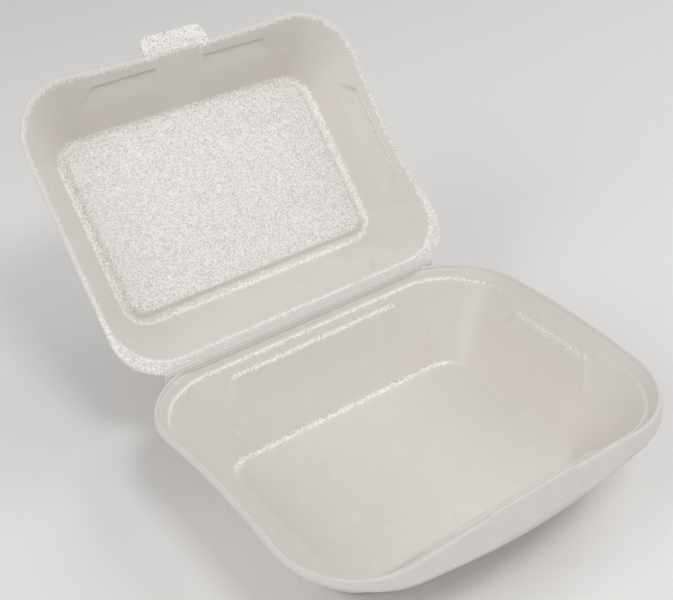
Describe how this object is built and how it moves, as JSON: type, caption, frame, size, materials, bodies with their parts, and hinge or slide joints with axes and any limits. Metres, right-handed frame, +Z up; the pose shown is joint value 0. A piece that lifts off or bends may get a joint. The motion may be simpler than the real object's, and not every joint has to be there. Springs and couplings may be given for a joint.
{
  "type": "foam clamshell container",
  "caption": "Open foam take-away clamshell: a deep base tray with an arched lip, and a shallower lid tray that turns on a living hinge and closes with a front tab.",
  "frame": {"origin": "middle of the base's underside, on the table", "axes": "+X along the hinge, to the right seen from the front; +Y from the front catch to the hinge; +Z up"},
  "size_m": [0.179, 0.2487, 0.1362],
  "materials": {
    "base_foam": "white expanded polystyrene foam sheet, satin skin with fine flattened cells",
    "lid_foam": "white expanded polystyrene foam sheet, satin skin with fine flattened cells"
  },
  "bodies": {
    "base": {"base": "base_foam"},
    "lid": {"lid": "lid_foam"}
  },
  "joints": [
    {"name": "lid_hinge", "type": "hinge", "parent": "base", "child": "lid", "pos_m": [0, 0.0684, 0.0401], "axis": [-1, 0, 0], "range_deg": [-134.5, 45.5]}
  ]
}
